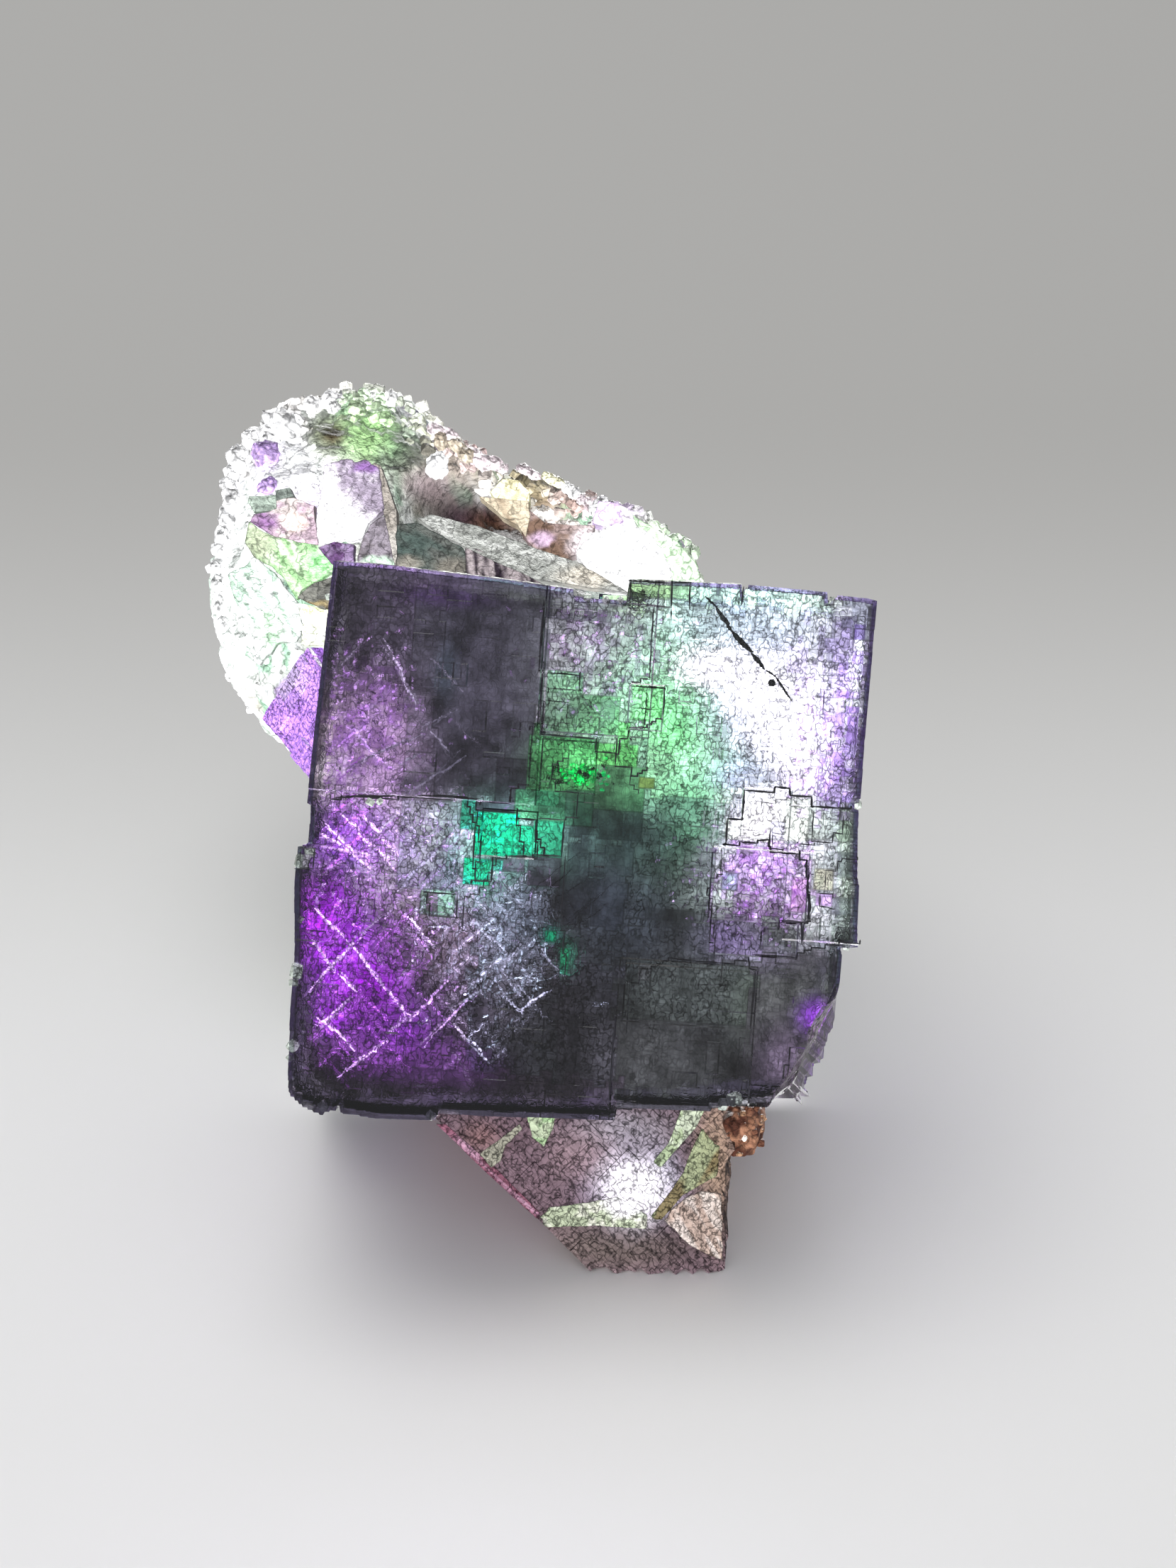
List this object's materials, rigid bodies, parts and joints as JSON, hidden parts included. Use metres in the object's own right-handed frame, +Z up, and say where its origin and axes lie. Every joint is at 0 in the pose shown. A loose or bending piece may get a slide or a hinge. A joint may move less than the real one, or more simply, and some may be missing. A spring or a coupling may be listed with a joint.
{
  "type": "fluorite cube specimen",
  "caption": "Natural fluorite specimen: a large dark stepped cube grown together with smaller pale cubes on a granular lump, resting on a flat cleavage face.",
  "frame": {"origin": "bottom centre of the specimen's bounding box, on the level of the cleavage face that it rests on", "axes": "+Z up, square to the resting cleavage face; the large cube's front face leans back and looks towards -Y and up; +X to the right of that face"},
  "size_m": [0.0452, 0.0588, 0.0453],
  "materials": {
    "zoned_fluorite": "etched growth faces, vitreous, zoned dark indigo, violet and green",
    "pale_fluorite": "vitreous, clear to milky, lilac and pale green",
    "granular_fluorite": "sugary crust of small crystals, white to pale green",
    "healed_fractures": "sealed veils and cleavage traces",
    "brown_nodule": "rough, iron stained"
  },
  "bodies": {
    "root": {"fluorite_specimen": "zoned_fluorite"}
  },
  "joints": []
}
